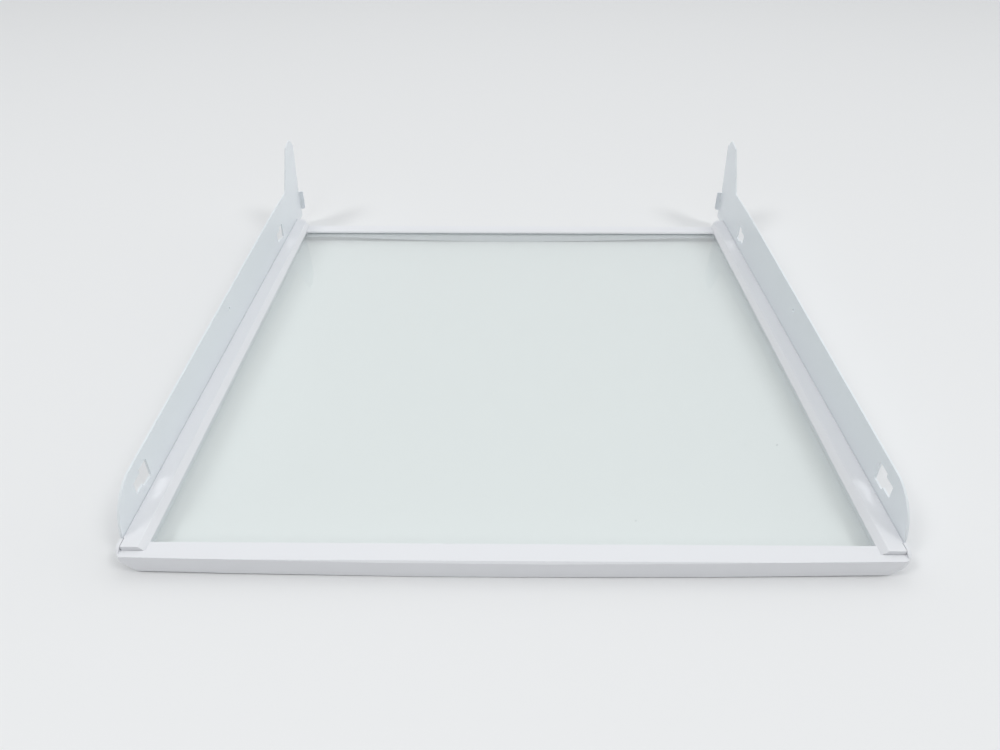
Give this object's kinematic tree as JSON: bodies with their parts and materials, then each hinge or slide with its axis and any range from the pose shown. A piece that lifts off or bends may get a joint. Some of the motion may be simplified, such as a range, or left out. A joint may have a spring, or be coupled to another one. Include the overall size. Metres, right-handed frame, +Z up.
{
  "type": "refrigerator shelf",
  "caption": "Clear glass shelf in a white plastic edge frame, with upright steel side brackets whose rear hooks hang it in a cabinet's slotted uprights.",
  "frame": {"origin": "on the surface that the shelf lies on, under the middle of its overall box", "axes": "+X across the shelf to the right seen from the front, +Y to the rear, towards the hooks, +Z up, as it lies in the picture"},
  "size_m": [0.4024, 0.4332, 0.0829],
  "materials": {
    "clear_glass": "clear float glass with a pale green cast",
    "white_plastic": "white moulded plastic with a satin gloss",
    "white_paint": "white powder coat on folded sheet steel"
  },
  "bodies": {
    "root": {"glass_pane": "clear_glass", "front_trim": "white_plastic", "rear_trim": "white_plastic", "left_rail": "white_plastic", "right_rail": "white_plastic", "left_bracket": "white_paint", "right_bracket": "white_paint"}
  },
  "joints": []
}
